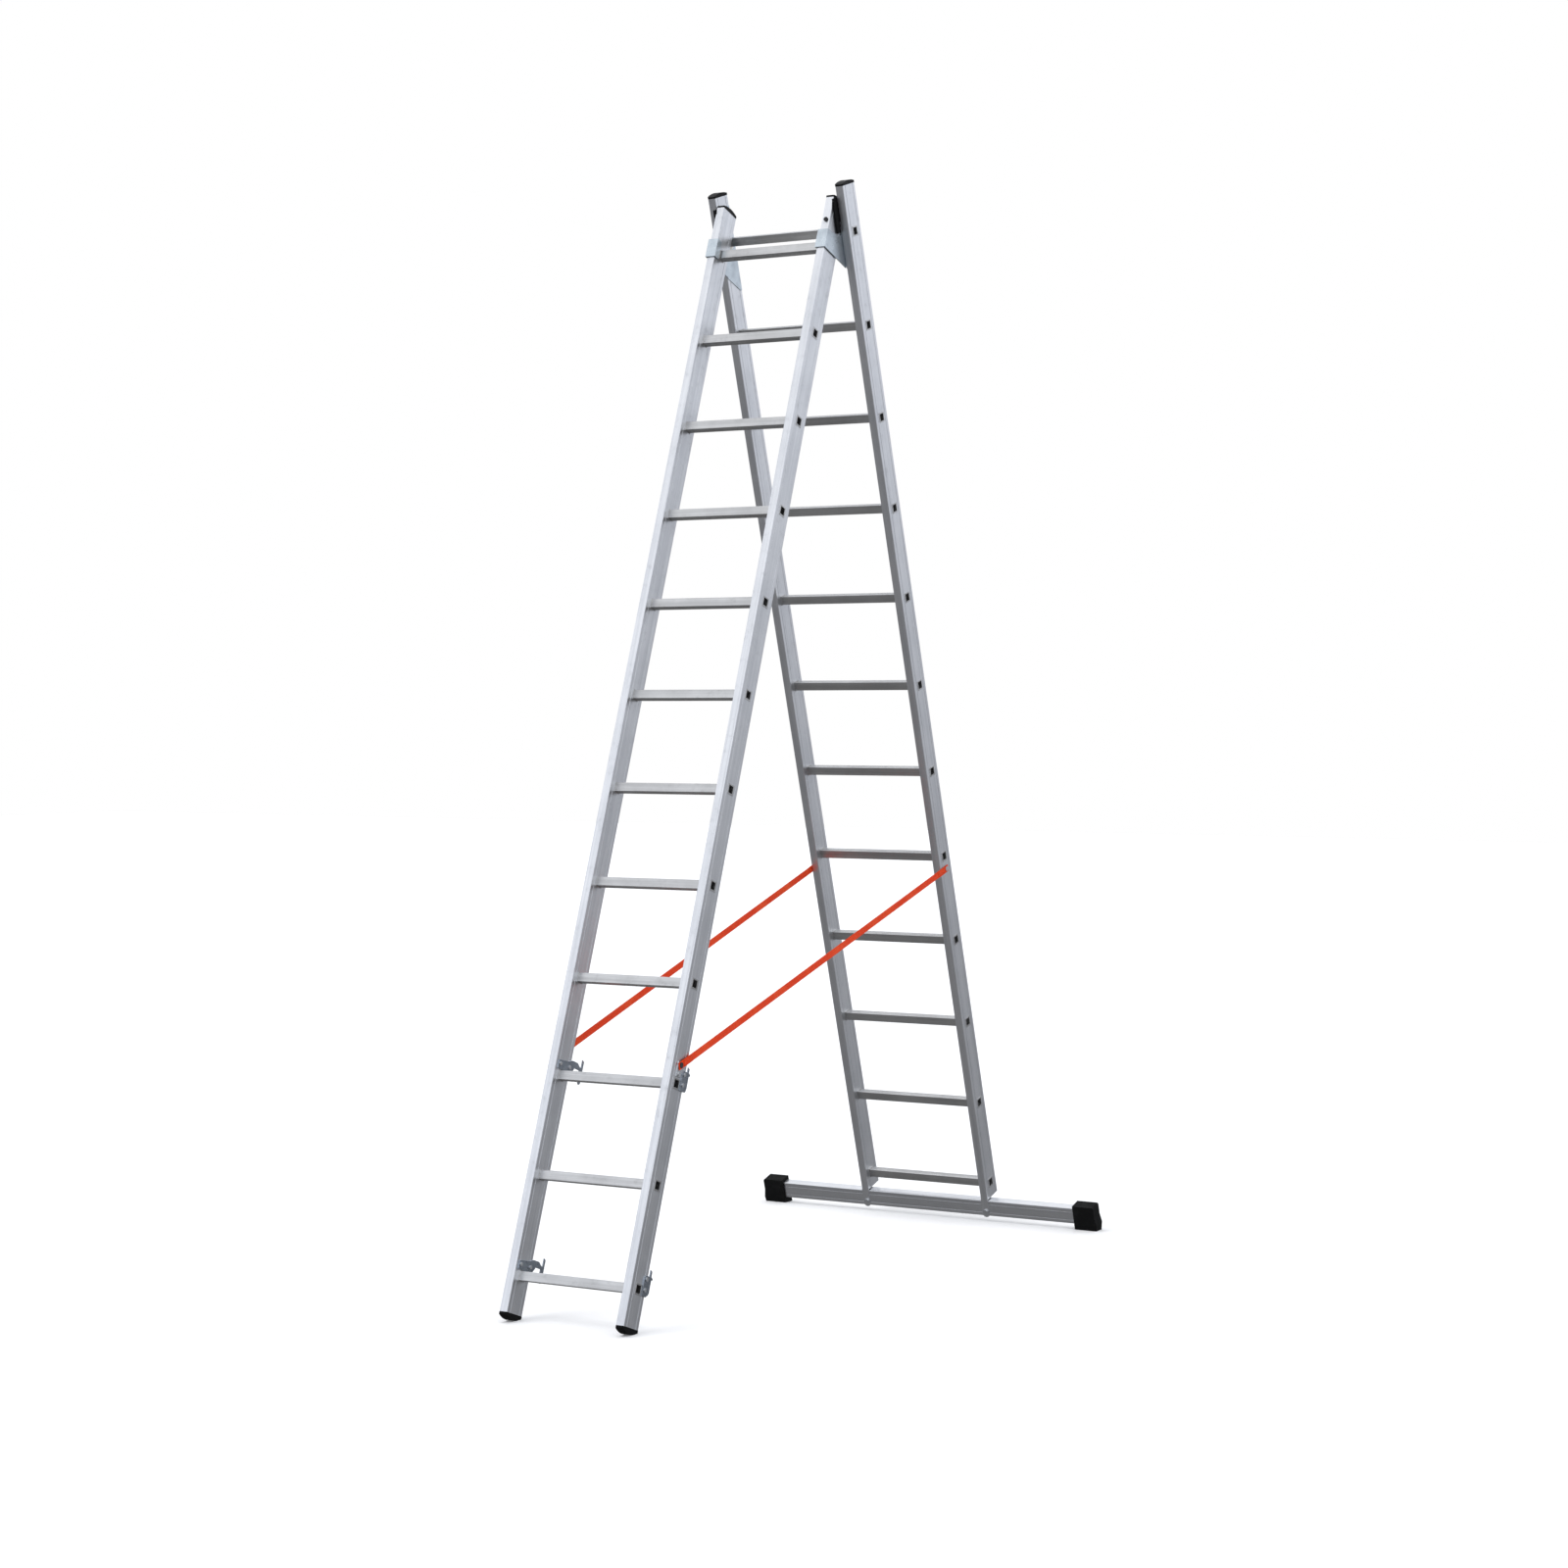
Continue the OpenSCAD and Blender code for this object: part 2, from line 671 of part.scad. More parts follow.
// Pad between the stiles: it keeps the folded front section in the middle
module guide_pad(side) {
    t = rear_inner - pad_x;
    color("black") in_rear_section() on_side(side) translate([0, 0, stack]) {
        translate([pad_x, -half_d - pad_reach, pad_tail]) {
            cube([t, pad_reach - pad_gap / 2, pad_rise - pad_tail]);
        }
        translate([pad_x, -half_d - pad_reach, pad_start()]) {
            cube([t, pad_reach + pad_inset, pad_rise - pad_start()]);
        }
        for (z = pad_rivet_steps) translate([0, pad_inset / 2 - half_d, z]) {
            x_bar(rivet_r, rear_inner, stile_wall + rivet_tail);
        }
    }
}

// Nylon bush on the top rung: round outside for the bracket, square inside for the rung
module pivot_bush(side) {
    end_x = rear_inner - hinge_plate_t - 0.1;
    start_x = plate_x - 0.3;
    color("ivory") in_rear_section() on_side(side) translate([0, 0, stack]) difference() {
        union() {
            x_bar(bush_r, start_x, end_x - start_x);
            x_bar(bush_r + bush_flange, start_x - bush_flange_t, bush_flange_t);
        }
        rung_hole(start_x - bush_flange_t - cut, end_x - start_x + bush_flange_t + 2 * cut);
    }
}

// Webbing from the rear anchor to the front anchor
module strap(side) {
    hole = stud_r + 2 * rivet_fit;
    color("orangered") on_side(side) translate(rear_anchor) {
        rotate([strap_pitch, 0, 0]) rotate([0, 0, strap_yaw]) {
            side_plate(-strap_t / 2, strap_t) difference() {
                translate([-strap_tail, -strap_w / 2]) square([strap_len + 2 * strap_tail, strap_w]);
                circle(hole);
                translate([strap_len, 0]) circle(hole);
            }
        }
    }
}

module rear_strap_rivets() {
    outer_x = rear_anchor[0] + strap_t / 2 + anchor_gap;
    color("silver") in_rear_section() for (side = [LEFT, RIGHT]) on_side(side) {
        translate([0, 0, strap_rear_height]) {
            x_bar(rivet_r, rear_half - stile_wall - rivet_tail, stile_wall + rivet_tail);
            x_bar(washer_r, rear_half, washer_t - 2 * anchor_gap);
            x_bar(stud_r, rear_half, outer_x - rear_half);
            x_bar(washer_r, outer_x, stud_head_t);
        }
    }
}

module stabilizer_bar() {
    color("gainsboro") in_rear_section() translate([-bar_len / 2, bar_y, -bar_drop]) difference() {
        rotate([90, 0, 90]) linear_extrude(bar_len) difference() {
            tube_outline(bar_d, bar_h, bar_wall, bar_corner);
            for (z = bar_groove_steps, y = [-1, 1]) translate([y * bar_d / 2, z]) {
                square([2 * bar_groove_depth, bar_groove_w], center = true);
            }
        }
        for (side = [LEFT, RIGHT]) {
            translate([bar_len / 2 + side * (rear_half - stile_w / 2), bar_d, bar_drop + bolt_z]) {
                rotate([90, 0, 0]) cylinder(r = bolt_r + rivet_fit, h = 2 * bar_d);
            }
        }
    }
}

// Rubber shoe: it closes the end of the bar and stands flat on the floor
module stabilizer_foot(side) {
    inner_x = stabilizer_len / 2 - foot_len;
    outer_x = stabilizer_len / 2;
    top = bar_h / 2 + foot_top;
    depth = bar_d + 2 * foot_wall;
    color("black") difference() {
        in_rear_section() on_side(side) translate([0, bar_y, -bar_drop]) difference() {
            translate([0, depth / 2, 0]) rotate([90, 0, 0]) linear_extrude(depth) polygon([
                [inner_x, -big / 2],
                [inner_x, top],
                [outer_x - foot_bulge - foot_chamfer, top],
                [outer_x - foot_bulge, top - foot_chamfer],
                [outer_x - foot_bulge, 0],
                [outer_x, -bar_h / 2],
                [outer_x - foot_bulge, -bar_h],
                [outer_x - 2 * foot_bulge, -big / 2]
            ]);
            rotate([90, 0, 90]) linear_extrude(bar_len / 2 + foot_fit) {
                square([bar_d + 2 * foot_fit, bar_h + 2 * foot_fit], center = true);
            }
        }
        translate([-2 * stabilizer_len, rear_y - big, -big]) cube([4 * stabilizer_len, 2 * big, big]);
    }
}

module stabilizer_bolts() {
    shank = bar_d + stile_wall + bolt_head_t + bolt_tail;
    color("silver") in_rear_section() for (side = [LEFT, RIGHT]) {
        translate([side * (rear_half - stile_w / 2), -half_d, bolt_z]) rotate([-90, 0, 0]) {
            translate([0, 0, -bolt_head_t]) cylinder(r = bolt_head_r, h = bolt_head_t);
            cylinder(r = bolt_r, h = shank);
            translate([0, 0, stile_wall + bar_d]) cylinder(r = bolt_head_r, h = bolt_head_t, $fn = 6);
        }
    }
}

// Guide brackets ------------------------------------------------------------------------------

// Side plate with the pivot bore, front flange and short inner lip round the front stile
module guide_bracket(side) {
    plate_end = plate_x + bracket_t;
    height = bracket_rise + bracket_drop;
    boss_y = pivot_offset;
    boss_z = pivot_rise;
    color("lightsteelblue") in_front_section() on_side(side) translate([0, 0, stack]) {
        side_plate(plate_x, bracket_t) difference() {
            union() {
                polygon([
                    [-bracket_front, -bracket_drop],
                    [boss_y + boss_r, -bracket_drop],
                    [boss_y + boss_r, boss_z],
                    [boss_y - boss_r, boss_z],
                    [boss_y - boss_r, bracket_rise + shoulder_high],
                    [half_d - shoulder_run, bracket_rise + shoulder_low],
                    [-bracket_front, bracket_rise]
                ]);
                translate([boss_y, boss_z]) circle(boss_r);
            }
            translate([boss_y, boss_z]) circle(bush_r + bush_fit);
        }
        translate([lip_x - bracket_t, -bracket_front, -bracket_drop]) {
            cube([plate_end - lip_x + bracket_t, bracket_t, height]);
            cube([bracket_t, bracket_front - half_d + lip_depth, height]);
        }
    }
}

// Drawing -------------------------------------------------------------------------------------

rear_stile(LEFT);  // rear_stile_left
rear_stile(RIGHT);  // rear_stile_right
rear_top_cap(LEFT);  // rear_top_cap_left
rear_top_cap(RIGHT);  // rear_top_cap_right
stabilizer_bar();
stabilizer_foot(LEFT);  // stabilizer_foot_left
stabilizer_foot(RIGHT);  // stabilizer_foot_right
stabilizer_bolts();
pivot_bush(LEFT);  // pivot_bush_left
pivot_bush(RIGHT);  // pivot_bush_right
hinge_plate(LEFT);  // hinge_plate_left
hinge_plate(RIGHT);  // hinge_plate_right
guide_pad(LEFT);  // guide_pad_left
guide_pad(RIGHT);  // guide_pad_right
strap(LEFT);  // strap_left
strap(RIGHT);  // strap_right
rear_strap_rivets();
front_stile(LEFT);  // front_stile_left
front_stile(RIGHT);  // front_stile_right
front_foot(LEFT);  // front_foot_left
front_foot(RIGHT);  // front_foot_right
front_top_cap(LEFT);  // front_top_cap_left
front_top_cap(RIGHT);  // front_top_cap_right
rung_hook(hook_rungs[0], LEFT);  // lower_hook_left
rung_hook(hook_rungs[0], RIGHT);  // lower_hook_right
rung_hook(hook_rungs[1], LEFT);  // upper_hook_left
rung_hook(hook_rungs[1], RIGHT);  // upper_hook_right
hook_rivets();
strap_anchors();
strap_studs();
end_stop_bolt();
guide_bracket(LEFT);  // guide_bracket_left
guide_bracket(RIGHT);  // guide_bracket_right
for (i = [1:rung_count]) {
    rear_rung(i);
    front_rung(i);
}
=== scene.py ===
"""Looks for a two-section aluminium ladder that stands open as an A-frame.

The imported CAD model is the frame. This script gives every node its material, replaces the two plain
strap solids with woven webbing, and sets the floor, the light and the camera. Metres throughout.
"""

import json
import math

import bmesh
import bpy
import numpy as np
from mathutils import Matrix, Vector


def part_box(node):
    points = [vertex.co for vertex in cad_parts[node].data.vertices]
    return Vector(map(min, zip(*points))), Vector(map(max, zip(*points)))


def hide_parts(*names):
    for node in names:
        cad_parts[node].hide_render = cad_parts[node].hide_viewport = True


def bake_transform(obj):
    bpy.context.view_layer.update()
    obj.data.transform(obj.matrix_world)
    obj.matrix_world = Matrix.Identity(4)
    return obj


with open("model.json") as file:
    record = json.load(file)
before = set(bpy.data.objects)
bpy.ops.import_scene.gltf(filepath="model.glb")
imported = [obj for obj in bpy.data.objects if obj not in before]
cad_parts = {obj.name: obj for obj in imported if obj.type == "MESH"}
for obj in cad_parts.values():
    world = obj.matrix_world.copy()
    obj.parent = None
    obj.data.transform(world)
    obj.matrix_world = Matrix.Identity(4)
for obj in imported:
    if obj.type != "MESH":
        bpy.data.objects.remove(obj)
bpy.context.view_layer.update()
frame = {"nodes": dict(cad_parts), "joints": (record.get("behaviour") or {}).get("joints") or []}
NODES = frame["nodes"]
JOINTS = {joint["name"]: joint for joint in frame["joints"]}
MM = 0.001

# How far each section leans from upright, from the slide joint and from the rear rungs
SLIDE_AXIS = Vector(JOINTS["extension"]["axis"])
FRONT_LEAN = math.atan2(SLIDE_AXIS.y, SLIDE_AXIS.z)
PIVOT = Vector(JOINTS["fold"]["pos_m"])
FIRST_REAR_RUNG = sum(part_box("rear_rung_01"), Vector()) / 2
REAR_LEAN = math.atan2(PIVOT.y - FIRST_REAR_RUNG.y, PIVOT.z - FIRST_REAR_RUNG.z)


# Shader helpers ------------------------------------------------------------------------------

# Cosines between the rounded and the flat normal where a surface counts as flat and as an edge
FLAT_COSINE = 0.998
EDGE_COSINE = 0.9
BEVEL_SAMPLES = 6


class Shader:
    """One material and its node tree."""

    def __init__(self, name):
        self.material = bpy.data.materials.new(name)
        self.material.use_nodes = True
        self.tree = self.material.node_tree
        self.tree.nodes.clear()

    def node(self, kind, settings=None, **inputs):
        """Adds a node. An input called i0, i1 and so on is found by its place, others by name."""
        made = self.tree.nodes.new("ShaderNode" + kind)
        for key, value in (settings or {}).items():
            setattr(made, key, value)
        for key, value in inputs.items():
            place = int(key[1:]) if key[0] == "i" and key[1:].isdigit() else key.replace("_", " ")
            self.put(made.inputs[place], value)
        return made

    def put(self, socket, value):
        """Links a value that is a socket, and sets any other."""
        if isinstance(value, bpy.types.NodeSocket):
            self.tree.links.new(value, socket)
        else:
            socket.default_value = value

    def math(self, operation, a, b=0.0, c=0.0, clamp=False):
        made = self.node("Math", {"operation": operation, "use_clamp": clamp}, i0=a, i1=b, i2=c)
        return made.outputs[0]

    def vector(self, operation, a, b):
        made = self.node("VectorMath", {"operation": operation}, i0=a, i1=b)
        return made.outputs["Value" if operation == "DOT_PRODUCT" else "Vector"]

    def remap(self, value, low, high, to_low=0.0, to_high=1.0):
        made = self.node("MapRange", {"interpolation_type": "SMOOTHSTEP"}, i0=value, i1=low, i2=high)
        made.inputs[3].default_value = to_low
        made.inputs[4].default_value = to_high
        return made.outputs[0]

    def mix(self, factor, a, b):
        made = self.node("Mix", {"data_type": "RGBA"}, i0=factor)
        self.put(made.inputs[6], a)
        self.put(made.inputs[7], b)
        return made.outputs[2]

    def coordinates(self, turn=0.0, stretch=(1, 1, 1)):
        """Object coordinates in metres, turned back about X so that Z runs along a leaning stile."""
        source = self.node("TexCoord").outputs["Object"]
        turned = self.node("Mapping", Vector=source, Rotation=(turn, 0, 0)).outputs[0]
        return self.vector("MULTIPLY", turned, stretch)

    def noise(self, vector, scale=1.0, detail=2.0, roughness=0.5):
        made = self.node("TexNoise", Vector=vector, Scale=scale, Detail=detail, Roughness=roughness)
        return made.outputs["Fac"]

    def bevel(self, radius):
        return self.node("Bevel", {"samples": BEVEL_SAMPLES}, Radius=radius).outputs[0]

    def edge_mask(self, rounded):
        """1 on the edges and corners that the bevel rounds, 0 on the flats."""
        flat = self.node("NewGeometry").outputs["Normal"]
        return self.remap(self.vector("DOT_PRODUCT", rounded, flat), FLAT_COSINE, EDGE_COSINE)

    def bump(self, height, strength, distance, normal=None):
        made = self.node("Bump", Height=height, Strength=strength, Distance=distance)
        if normal is not None:
            self.put(made.inputs["Normal"], normal)
        return made.outputs[0]

    def finish(self, **inputs):
        surface = self.node("BsdfPrincipled", **inputs)
        output = self.node("OutputMaterial")
        self.tree.links.new(surface.outputs[0], output.inputs[0])
        return self.material


def color(r, g, b):
    return (r, g, b, 1.0)


def shade(tint, share):
    """The tint, darkened or brightened."""
    return color(*[share * value for value in tint])


def stretch_along(axis, along, across):
    """Texture scales that draw a pattern out along one axis."""
    return tuple(along if i == axis else across for i in range(3))


# Materials -----------------------------------------------------------------------------------
# Shares in the mixes below are amounts from 0 to 1, and noise scales are per metre.

X_AXIS, Z_AXIS = 0, 2
BRIGHT_ALUMINIUM = color(0.88, 0.88, 0.88)
BRIGHT_ZINC = color(0.88, 0.89, 0.9)
ZINC_FLECK = color(0.85, 0.88, 0.9)
ZINC_CLOUD = color(0.36, 0.40, 0.45)
NYLON_CLEAN = color(0.74, 0.73, 0.68)
NYLON_YELLOWED = color(0.60, 0.57, 0.48)
WEBBING_SUNNED = color(0.86, 0.14, 0.03)
WEBBING_GRIME = color(0.22, 0.05, 0.025)
SCRATCH_TURN = (0.5, 0.4, 0.3)  # turns the scratches off the draw lines, in radians


def extruded_aluminium(name, turn, along, light, dark, rough):
    """Mill-finish extrusion: draw lines along it, cloudy tone, rubbed edges and a few scratches."""
    s = Shader(name)
    fine = stretch_along(along, 4, 900)
    broad = stretch_along(along, 1.5, 90)
    slanted = stretch_along(along, 26, 420)
    lines = s.noise(s.coordinates(turn, fine), detail=3.0, roughness=0.6)
    bands = s.noise(s.coordinates(turn, broad), detail=2.0)
    clouds = s.noise(s.coordinates(turn), scale=7.0, detail=4.0, roughness=0.6)
    handled = s.noise(s.coordinates(turn), scale=38.0, detail=5.0, roughness=0.7)
    skewed = s.node("Mapping", Vector=s.coordinates(turn), Rotation=SCRATCH_TURN).outputs[0]
    scratches = s.noise(s.vector("MULTIPLY", skewed, slanted), detail=1.0)
    scratch = s.remap(scratches, 0.71, 0.76)
    rounded = s.bevel(0.5 * MM)
    edges = s.edge_mask(rounded)

    tone = s.math("MULTIPLY_ADD", bands, 0.5, s.math("MULTIPLY", clouds, 0.5))
    body = s.mix(s.remap(tone, 0.35, 0.65), color(*dark), color(*light))
    streaked = s.mix(s.remap(lines, 0.3, 0.7, 0.0, 0.35), body, shade(dark, 0.8))
    smudge = s.remap(handled, 0.52, 0.75, 0.0, 0.28)
    smudged = s.mix(smudge, streaked, shade(dark, 0.72))
    rubbed = s.mix(s.math("MULTIPLY", edges, 0.2), smudged, BRIGHT_ALUMINIUM)
    base = s.mix(s.math("MULTIPLY", scratch, 0.16), rubbed, BRIGHT_ALUMINIUM)

    worn = s.remap(lines, 0.25, 0.75, rough - 0.07, rough + 0.07)
    smeared = s.math("MULTIPLY_ADD", smudge, 0.5, worn)
    roughness = s.math("MULTIPLY_ADD", edges, -0.08, smeared, clamp=True)
    relief = s.math("MULTIPLY_ADD", scratch, -0.35, lines)
    normal = s.bump(relief, 0.16, 0.12 * MM, rounded)
    return s.finish(Base_Color=base, Metallic=1.0, Roughness=roughness, Normal=normal)


def zinc_plate(name, tint, rough):
    """Bright zinc plating on sheet steel: faint spangle, cloudy passivation, edges worn bright."""
    s = Shader(name)
    where = s.coordinates()
    spangle = s.node("TexVoronoi", Vector=where, Scale=260.0).outputs["Color"]
    patch = s.node("SeparateColor", i0=spangle).outputs[0]
    clouds = s.noise(where, scale=28.0, detail=5.0, roughness=0.65)
    film = s.noise(where, scale=11.0, detail=2.0)
    rounded = s.bevel(0.6 * MM)
    edges = s.edge_mask(rounded)
    cool = s.mix(s.remap(film, 0.35, 0.65), color(*tint), shade(tint, 1.12))
    cloudy = s.mix(s.remap(clouds, 0.4, 0.75, 0.0, 0.5), cool, ZINC_CLOUD)
    flecked = s.mix(s.math("MULTIPLY", patch, 0.16), cloudy, ZINC_FLECK)
    base = s.mix(s.math("MULTIPLY", edges, 0.6), flecked, BRIGHT_ZINC)
    dulled = s.remap(clouds, 0.3, 0.8, rough - 0.04, rough + 0.12)
    grainy = s.math("MULTIPLY_ADD", patch, 0.10, dulled)
    normal = s.bump(s.math("MULTIPLY_ADD", clouds, 0.8, patch), 0.10, 0.15 * MM, rounded)
    return s.finish(Base_Color=base, Metallic=1.0, Roughness=grainy, Normal=normal)


def moulded(name, deep, dusty, rough, grain):
    """Moulded plastic or rubber: spark-eroded grain, scuffs, and edges rubbed lighter."""
    s = Shader(name)
    where = s.coordinates()
    texture = s.noise(where, scale=grain, detail=3.0, roughness=0.6)
    drawn_out = s.vector("MULTIPLY", where, (1, 0.4, 1))
    scuffs = s.noise(drawn_out, scale=70.0, detail=6.0, roughness=0.7)
    dust = s.noise(where, scale=18.0, detail=4.0, roughness=0.6)
    rounded = s.bevel(0.9 * MM)
    edges = s.edge_mask(rounded)
    marked = s.mix(s.remap(scuffs, 0.55, 0.78, 0.0, 0.5), color(*deep), color(*dusty))
    dulled = s.mix(s.remap(dust, 0.45, 0.8, 0.0, 0.35), marked, color(*dusty))
    base = s.mix(s.math("MULTIPLY", edges, 0.5), dulled, color(*dusty))
    roughness = s.remap(s.math("ADD", scuffs, dust), 0.7, 1.3, rough - 0.08, rough + 0.12)
    normal = s.bump(s.math("MULTIPLY_ADD", scuffs, 0.4, texture), 0.22, 0.12 * MM, rounded)
    return s.finish(Base_Color=base, Roughness=roughness, Normal=normal, Specular_IOR_Level=0.12)


def bush_nylon(name):
    """Natural nylon with a rubbed, slightly yellowed surface."""
    s = Shader(name)
    where = s.coordinates()
    clouds = s.noise(where, scale=60.0, detail=4.0)
    base = s.mix(s.remap(clouds, 0.35, 0.7), NYLON_CLEAN, NYLON_YELLOWED)
    normal = s.bump(s.noise(where, scale=900.0), 0.15, 0.08 * MM, s.bevel(0.6 * MM))
    return s.finish(
        Base_Color=base,
        Roughness=s.remap(clouds, 0.3, 0.7, 0.32, 0.48),
        Normal=normal,
        Subsurface_Weight=0.12,
        Subsurface_Scale=2 * MM,
    )


WEFT_PITCH = 1.6 * MM  # one pick of the weave, along the strap
WARP_PITCH = 1.35 * MM  # one thread of the weave, across the strap
ROWS_BELOW = 1000.0  # whole rows added so that the row number is never negative


def webbing(name, bright, deep):
    """Plain-woven polyester webbing: offset rows of threads, darker in the gaps between them as
    painted shade, frayed fibres, sun and grip wear.
    """
    s = Shader(name)
    uv = s.node("UVMap", {"uv_map": "metres"}).outputs[0]
    split = s.node("SeparateXYZ", i0=uv)
    run = s.math("DIVIDE", split.outputs[0], WEFT_PITCH)
    row = s.math("ADD", s.math("DIVIDE", split.outputs[1], WARP_PITCH), ROWS_BELOW)
    odd = s.math("MODULO", s.math("FLOOR", row), 2.0)
    pick = s.math("FRACT", s.math("MULTIPLY_ADD", odd, 0.5, run))
    thread = s.math("FRACT", row)
    crown = s.math("SINE", s.math("MULTIPLY", pick, math.pi))
    side = s.math("SINE", s.math("MULTIPLY", thread, math.pi))
    weave = s.math("MULTIPLY", s.math("POWER", crown, 0.6), s.math("POWER", side, 0.5))
    where = s.coordinates()
    fibres = s.noise(where, scale=5200.0, detail=2.0)
    fade = s.noise(where, scale=9.0, detail=4.0, roughness=0.6)
    grime = s.noise(where, scale=60.0, detail=5.0, roughness=0.7)
    # Painted shade: the low gaps between the threads are coloured darker than the crowns.
    weave_painted_shade = s.mix(s.remap(weave, 0.15, 0.85), color(*deep), color(*bright))
    faded = s.mix(s.remap(fade, 0.45, 0.75, 0.0, 0.3), weave_painted_shade, WEBBING_SUNNED)
    dirty = s.mix(s.remap(grime, 0.55, 0.8, 0.0, 0.35), faded, WEBBING_GRIME)
    base = s.mix(s.remap(fibres, 0.3, 0.7, 0.0, 0.16), dirty, shade(deep, 0.55))
    height = s.math("MULTIPLY_ADD", fibres, 0.25, weave)
    return s.finish(
        Base_Color=base,
        Roughness=s.remap(weave, 0.1, 0.9, 0.82, 0.62),
        Normal=s.bump(height, 0.75, 0.35 * MM),
        Sheen_Weight=0.04,
        Sheen_Roughness=0.45,
        Specular_IOR_Level=0.12,
    )


LIGHT_MILL = (0.83, 0.84, 0.86)
DARK_MILL = (0.70, 0.715, 0.74)
LIGHT_RUNG = (0.66, 0.66, 0.655)
DARK_RUNG = (0.50, 0.50, 0.495)
REAR_TURN = -abs(REAR_LEAN)  # the rear section leans the other way

MATERIALS = {
    "front_stile": extruded_aluminium(
        "front_stile_aluminium", FRONT_LEAN, Z_AXIS, LIGHT_MILL, DARK_MILL, rough=0.36
    ),
    "rear_stile": extruded_aluminium(
        "rear_stile_aluminium", REAR_TURN, Z_AXIS, LIGHT_MILL, DARK_MILL, rough=0.36
    ),
    "bar": extruded_aluminium(
        "bar_aluminium", REAR_TURN, X_AXIS, LIGHT_MILL, DARK_MILL, rough=0.33
    ),
    "rung": extruded_aluminium(
        "rung_aluminium", 0.0, X_AXIS, LIGHT_RUNG, DARK_RUNG, rough=0.34
    ),
    "zinc": zinc_plate("zinc_plated_sheet", tint=(0.52, 0.58, 0.62), rough=0.28),
    # The hooks get a much darker copy of the bracket zinc: painted shade for their place on the inner
    # side of the stiles.
    "hook": zinc_plate("zinc_hook_painted_shade", tint=(0.30, 0.34, 0.39), rough=0.27),
    "fastener": zinc_plate("zinc_plated_fastener", tint=(0.60, 0.61, 0.62), rough=0.36),
    "dark_steel": moulded(
        "black_coated_steel",
        deep=(0.02, 0.02, 0.021),
        dusty=(0.10, 0.10, 0.105),
        rough=0.42,
        grain=900.0,
    ),
    "plastic": moulded(
        "black_moulded_plastic",
        deep=(0.004, 0.004, 0.0045),
        dusty=(0.018, 0.018, 0.019),
        rough=0.50,
        grain=1500.0,
    ),
    "rubber": moulded(
        "black_rubber",
        deep=(0.0035, 0.0035, 0.0035),
        dusty=(0.016, 0.016, 0.0155),
        rough=0.74,
        grain=1100.0,
    ),
    "nylon": bush_nylon("natural_nylon"),
    "webbing": webbing("orange_red_webbing", bright=(0.78, 0.052, 0.004), deep=(0.52, 0.026, 0.002)),
    "thread": moulded(
        "sewing_thread",
        deep=(0.30, 0.022, 0.006),
        dusty=(0.46, 0.05, 0.02),
        rough=0.6,
        grain=4000.0,
    ),
}

# The first word here that is in a node's name gives its material
MATERIAL_RULES = [
    ("strap_rivets", "fastener"),
    ("strap_anchors", "fastener"),
    ("strap_studs", "dark_steel"),
    ("strap", "webbing"),
    ("front_stile", "front_stile"),
    ("rear_stile", "rear_stile"),
    ("rung", "rung"),
    ("stabilizer_bar", "bar"),
    ("foot", "rubber"),
    ("bush", "nylon"),
    ("rivets", "fastener"),
    ("bolts", "fastener"),
    ("end_stop_bolt", "dark_steel"),
    ("cap", "plastic"),
    # The pads are black plastic strips in the narrow gap beside the rear stiles. Their black is
    # partly painted shade, standing in for the shade in that gap.
    ("pad", "plastic"),
    ("hook", "hook"),
    ("bracket", "zinc"),
    ("hinge_plate", "zinc"),
]


def material_for(node):
    return MATERIALS[next(key for word, key in MATERIAL_RULES if word in node)]


for name, node in NODES.items():
    node.data.materials.clear()
    node.data.materials.append(material_for(name))


# Straps --------------------------------------------------------------------------------------
# A strap is made lying flat: X runs along it to the rear, Y across it, and Z outwards.

THREAD_SLOT = 1  # of the mesh's materials, after the webbing
STRAP_END_GAP = 11 * MM  # webbing beyond the middle of each rivet
MESH_STEP = 5 * MM  # length of one mesh segment of webbing
SELVEDGE = 1.3 * MM  # width of the thicker woven edge
DIP_THICKNESS = 0.92  # beside the selvedge, as a share of the full thickness
CROWN = 0.03  # how much thinner the face is at its sides, as a share of the thickness
FACE_POINTS = (-1.0, -0.8, -0.4, 0.0, 0.4, 0.8, 1.0)  # shares of the way from the middle line
HEM_START = 13 * MM  # where the folded-back end starts, from the middle of the rivet
HEM_LENGTH = 46 * MM
HEM_STEPS = 12
HEM_MARGIN = 0.6 * MM  # how much narrower the folded layer is
HEM_THICKNESS = 0.96  # of the folded layer, as a share of the webbing's
HEM_LIFT = 0.98  # height of the folded layer's middle, in thicknesses of webbing
HEM_DIP = 0.35  # how far its cut end is sewn down, in thicknesses of webbing
HEM_DIP_START = 0.9  # where that starts, as a share of the hem's length
STITCH_LENGTH = 2.4 * MM
STITCH_PITCH = 3.3 * MM
STITCH_RADIUS = 0.32 * MM
STITCH_SIDES = 6
STITCH_INSET = 3.2 * MM
CUT_END_INSET = 1.6 * STITCH_INSET  # from the hem's cut end to the seam

# A stitch's shape: share of its length, share of its radius, and how many radii it sinks
STITCH_PROFILE = [(0, 0.35, 0.4), (0.2, 0.95, 0), (0.5, 1.0, 0), (0.8, 0.95, 0), (1, 0.35, 0.4)]


